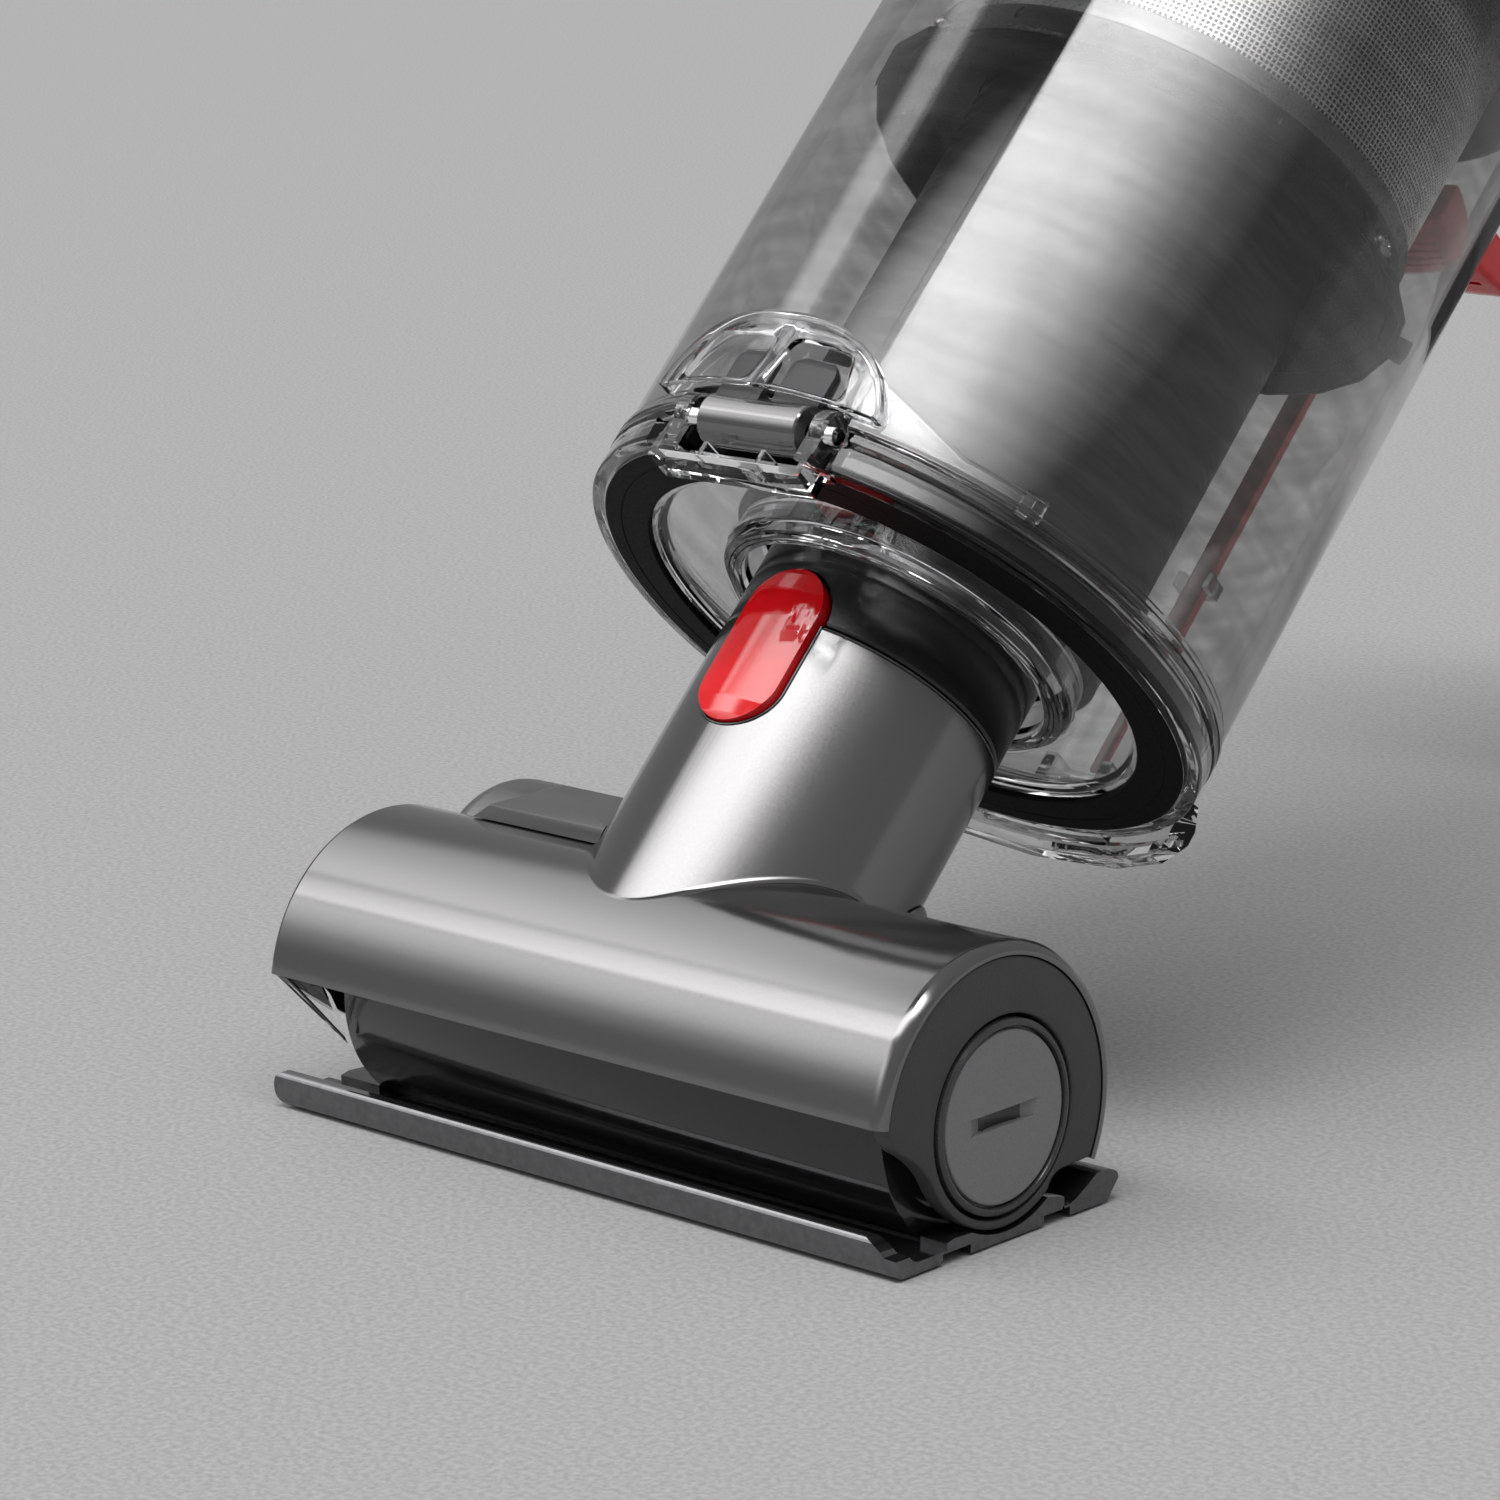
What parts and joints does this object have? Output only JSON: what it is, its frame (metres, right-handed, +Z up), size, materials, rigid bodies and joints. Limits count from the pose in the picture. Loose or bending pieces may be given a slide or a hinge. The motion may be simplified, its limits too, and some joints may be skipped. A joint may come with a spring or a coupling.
{
  "type": "cordless stick vacuum",
  "caption": "Cordless vacuum in hand-held form: clear dust bin with a hinged front door, cyclones, motor, pistol grip and battery, with a mini motorised brush head plugged on its inlet.",
  "frame": {"origin": "middle of the flat land under the rear of the head's soleplate, at floor level", "axes": "+Z up from the floor, X along the brush bar, +Y from the front lip of the head towards the machine"},
  "size_m": [0.1451, 0.4131, 0.3448],
  "materials": {
    "gunmetal_shell": "metallic painted",
    "dark_grey": "fine textured",
    "mid_grey": "satin",
    "gloss_black": "gloss",
    "satin_black": "satin",
    "red_plastic": "gloss",
    "clear_plastic": "clear polycarbonate",
    "satin_tube": "satin metallic",
    "stainless": "perforated sheet",
    "steel": "turned",
    "soft_rubber": "matte",
    "nylon_bristle": "nylon tufts",
    "sintered_bronze": "matte",
    "filter_paper": "pleated",
    "cell_wrap": "shrink wrap"
  },
  "bodies": {
    "head": {"head_housing": "gunmetal_shell", "neck": "gunmetal_shell", "spigot": "satin_black", "end_plate": "dark_grey", "motor_cover": "dark_grey", "head_motor": "steel", "drive_belt": "soft_rubber"},
    "sole": {"brush_chamber": "gloss_black", "soleplate": "gloss_black", "clear_cheek": "clear_plastic"},
    "brush": {"brush_core": "dark_grey", "bristle_strip_1": "nylon_bristle", "bristle_strip_2": "nylon_bristle", "bristle_strip_3": "nylon_bristle", "bristle_strip_4": "nylon_bristle", "brush_pulley": "satin_black"},
    "motor_drive": {"motor_pulley": "steel"},
    "cap": {"end_cap": "mid_grey", "end_bush": "sintered_bronze"},
    "button": {"release_button": "red_plastic"},
    "machine": {"inlet_collar": "satin_black", "inlet_duct": "satin_black", "fine_dust_tube": "satin_tube", "tube_seal": "soft_rubber", "skirt": "satin_black", "shroud_band": "satin_tube", "mesh_shroud": "stainless", "cyclone_pack": "dark_grey", "main_body": "gunmetal_shell", "motor_case": "steel", "motor_mount": "soft_rubber", "grip_left": "dark_grey", "grip_right": "dark_grey", "trigger_pin": "steel", "battery_case": "dark_grey", "cell_block": "cell_wrap"},
    "bin": {"bin_shell": "clear_plastic", "bin_collar": "dark_grey", "hinge_barrel": "gunmetal_shell", "hinge_pin": "clear_plastic", "hinge_cover": "clear_plastic", "catch_pin": "steel"},
    "door": {"door_panel": "clear_plastic", "door_seal": "soft_rubber"},
    "catch": {"door_catch": "clear_plastic"},
    "release": {"release_strip": "red_plastic", "bin_release_lever": "red_plastic"},
    "finger_trigger": {"trigger": "red_plastic"},
    "mode_switch": {"mode_slider": "dark_grey"},
    "filter": {"filter_shell": "dark_grey", "filter_media": "filter_paper"},
    "fan": {"impeller": "steel"}
  },
  "joints": [
    {"name": "tool_release", "type": "slide", "parent": "head", "child": "machine", "axis": [0, 0.7046, 0.7096], "range_m": [0, 0.22]},
    {"name": "bin_slide", "type": "slide", "parent": "machine", "child": "bin", "axis": [0, -0.7046, -0.7096], "range_m": [0, 0.045]},
    {"name": "door_hinge", "type": "hinge", "parent": "bin", "child": "door", "pos_m": [-0.0019, -0.00051, 0.12152], "axis": [-1, 0, 0], "range_deg": [0, 90]},
    {"name": "release_slide", "type": "slide", "parent": "bin", "child": "release", "axis": [0, -0.7046, -0.7096], "range_m": [0, 0.007], "stiffness_N_per_m": 400},
    {"name": "catch_hinge", "type": "hinge", "parent": "bin", "child": "catch", "pos_m": [-0.0019, 0.09063, 0.04243], "axis": [1, 0, 0], "range_deg": [0, 12]},
    {"name": "sole_pivot", "type": "hinge", "parent": "head", "child": "sole", "pos_m": [0, -0.02, 0.0204], "axis": [1, 0, 0], "range_deg": [-7, 3]},
    {"name": "brush_spin", "type": "hinge", "parent": "head", "child": "brush", "pos_m": [0, -0.02, 0.0204], "axis": [1, 0, 0], "continuous": true},
    {"name": "pinion_spin", "type": "hinge", "parent": "head", "child": "motor_drive", "pos_m": [0, 0.012, 0.031], "axis": [1, 0, 0], "continuous": true},
    {"name": "end_cap_turn", "type": "hinge", "parent": "head", "child": "cap", "pos_m": [0, -0.02, 0.0204], "axis": [1, 0, 0], "range_deg": [0, 45]},
    {"name": "button_press", "type": "slide", "parent": "head", "child": "button", "axis": [0, 0.7096, -0.7046], "range_m": [0, 0.0026], "stiffness_N_per_m": 600},
    {"name": "trigger_pull", "type": "hinge", "parent": "machine", "child": "finger_trigger", "pos_m": [-0.0019, 0.24995, 0.20343], "axis": [1, 0, 0], "range_deg": [0, 8], "stiffness_Nm_per_rad": 0.5},
    {"name": "mode_slide", "type": "slide", "parent": "machine", "child": "mode_switch", "axis": [0, 0.7046, 0.7096], "range_m": [0, 0.016]},
    {"name": "filter_turn", "type": "hinge", "parent": "machine", "child": "filter", "pos_m": [-0.0019, 0.24069, 0.28492], "axis": [0, 0.7046, 0.7096], "range_deg": [0, 30]},
    {"name": "impeller_spin", "type": "hinge", "parent": "machine", "child": "fan", "pos_m": [-0.0019, 0.23202, 0.2762], "axis": [0, 0.7046, 0.7096], "continuous": true}
  ],
  "couplings": [
    {"joint": "bin_slide", "follows": "tool_release", "ratio": 0.20455},
    {"joint": "door_hinge", "follows": "tool_release", "rad_per_m": 7.14},
    {"joint": "catch_hinge", "follows": "release_slide", "rad_per_m": 29.92},
    {"joint": "pinion_spin", "follows": "brush_spin", "ratio": 2.2222}
  ]
}
